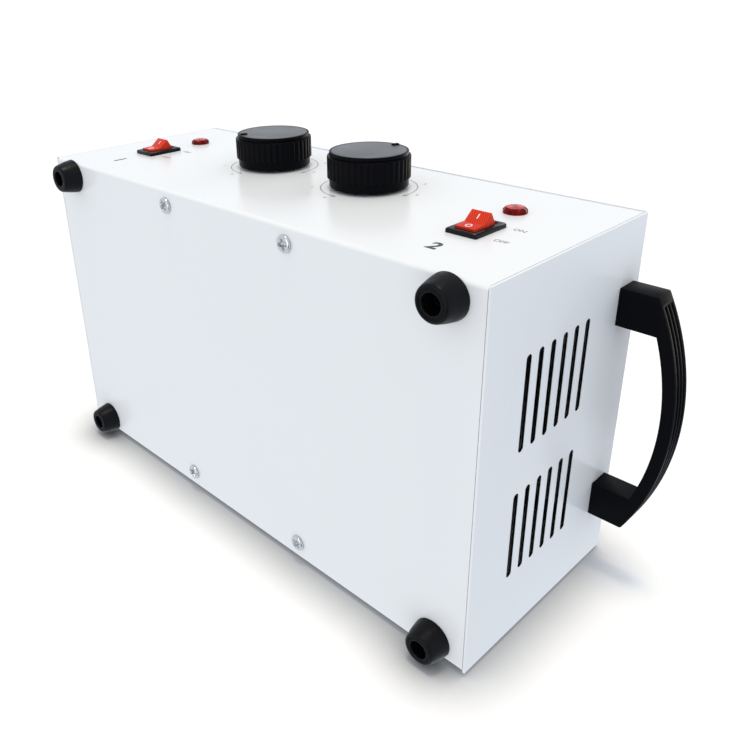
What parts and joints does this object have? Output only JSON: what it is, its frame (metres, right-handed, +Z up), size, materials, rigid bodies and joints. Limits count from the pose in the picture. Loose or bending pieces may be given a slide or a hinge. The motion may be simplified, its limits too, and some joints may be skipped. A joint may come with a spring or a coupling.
{
  "type": "double wax warmer",
  "caption": "Countertop wax warmer with a folded steel case, heated wells with lift-out lidded pots, thermostat knobs, rocker switches, lamps and end handles.",
  "frame": {"origin": "on the surface that the rubber feet stand on, under the middle of the whole part", "axes": "+Z up, +X towards the right end seen from the front, +Y towards the back, so the panel with the knobs faces -Y"},
  "size_m": [0.362, 0.196, 0.1641],
  "materials": {
    "white_case": "gloss white powder coat",
    "black_rubber": "moulded black rubber",
    "chrome": "bright chrome plate",
    "zinc_steel": "dull zinc plate",
    "black_oxide": "black oxide on steel",
    "black_handle": "satin black moulded plastic",
    "black_gloss": "gloss black moulded plastic",
    "brass": "bright brass",
    "ceramic": "unglazed white ceramic",
    "red_lead": "silicone insulated lead",
    "spun_aluminium": "spun aluminium, satin",
    "band_steel": "mill finish steel",
    "bright_steel": "polished stainless steel",
    "black_knob": "black moulded plastic, satin ribs",
    "knob_cap": "smooth dark grey cap",
    "red_lens": "clear red moulded plastic",
    "copper": "drawn copper"
  },
  "bodies": {
    "case": {"chassis": "white_case", "cover": "white_case", "foot_front_left": "black_rubber", "foot_front_right": "black_rubber", "foot_back_left": "black_rubber", "foot_back_right": "black_rubber", "base_screws": "chrome", "cover_screws": "chrome", "inlet_screws": "chrome", "foot_screws": "black_oxide", "foot_nuts": "zinc_steel", "base_tray": "zinc_steel", "handle_screws": "zinc_steel", "clamp_screws": "zinc_steel", "bush_nuts": "zinc_steel", "thermostat_left": "zinc_steel", "thermostat_right": "zinc_steel", "handle_left": "black_handle", "handle_right": "black_handle", "inlet": "black_gloss", "switch_housing_left": "black_gloss", "lamp_body_left": "black_gloss", "switch_housing_right": "black_gloss", "lamp_body_right": "black_gloss", "inlet_pins": "brass", "switch_tabs": "brass", "terminal_block": "ceramic", "wiring": "red_lead", "well_left": "spun_aluminium", "well_right": "spun_aluminium", "heater_left": "band_steel", "well_bracket_left": "band_steel", "thermal_fuse_left": "band_steel", "heater_right": "band_steel", "well_bracket_right": "band_steel", "thermal_fuse_right": "band_steel", "lamp_lens_left": "red_lens", "lamp_lens_right": "red_lens", "sensor_left": "copper", "sensor_right": "copper"},
    "knob_left": {"thermostat_shaft_left": "zinc_steel", "knob_left": "black_knob", "knob_cap_left": "knob_cap"},
    "rocker_left": {"rocker_left": "red_lens"},
    "pot_left": {"pot_left": "spun_aluminium", "pot_ears_left": "bright_steel"},
    "bail_left": {"bail_left": "bright_steel"},
    "lid_left": {"lid_left": "bright_steel", "lid_knob_left": "black_knob", "lid_screw_left": "bright_steel"},
    "knob_right": {"thermostat_shaft_right": "zinc_steel", "knob_right": "black_knob", "knob_cap_right": "knob_cap"},
    "rocker_right": {"rocker_right": "red_lens"},
    "pot_right": {"pot_right": "spun_aluminium", "pot_ears_right": "bright_steel"},
    "bail_right": {"bail_right": "bright_steel"},
    "lid_right": {"lid_right": "bright_steel", "lid_knob_right": "black_knob", "lid_screw_right": "bright_steel"}
  },
  "joints": [
    {"name": "knob_left_turn", "type": "hinge", "parent": "case", "child": "knob_left", "pos_m": [-0.03565, -0.07945, 0.07825], "axis": [0, 1, 0], "range_deg": [-20, 238]},
    {"name": "rocker_left_tilt", "type": "hinge", "parent": "case", "child": "rocker_left", "pos_m": [-0.1145, -0.07825, 0.0568], "axis": [-1, 0, 0], "range_deg": [0, 40]},
    {"name": "pot_left_lift", "type": "slide", "parent": "case", "child": "pot_left", "axis": [0, 0, 1], "range_m": [0, 0.14]},
    {"name": "bail_left_swing", "type": "hinge", "parent": "pot_left", "child": "bail_left", "pos_m": [-0.072, 0.02005, 0.131], "axis": [-1, 0, 0], "range_deg": [0, 173]},
    {"name": "lid_left_lift", "type": "slide", "parent": "pot_left", "child": "lid_left", "axis": [0, 0, 1], "range_m": [0, 0.07]},
    {"name": "knob_right_turn", "type": "hinge", "parent": "case", "child": "knob_right", "pos_m": [0.03295, -0.07945, 0.07825], "axis": [0, 1, 0], "range_deg": [-185, 73]},
    {"name": "rocker_right_tilt", "type": "hinge", "parent": "case", "child": "rocker_right", "pos_m": [0.1103, -0.07825, 0.0568], "axis": [-1, 0, 0], "range_deg": [0, 40]},
    {"name": "pot_right_lift", "type": "slide", "parent": "case", "child": "pot_right", "axis": [0, 0, 1], "range_m": [0, 0.14]},
    {"name": "bail_right_swing", "type": "hinge", "parent": "pot_right", "child": "bail_right", "pos_m": [0.072, 0.02005, 0.131], "axis": [-1, 0, 0], "range_deg": [0, 173]},
    {"name": "lid_right_lift", "type": "slide", "parent": "pot_right", "child": "lid_right", "axis": [0, 0, 1], "range_m": [0, 0.07]}
  ]
}
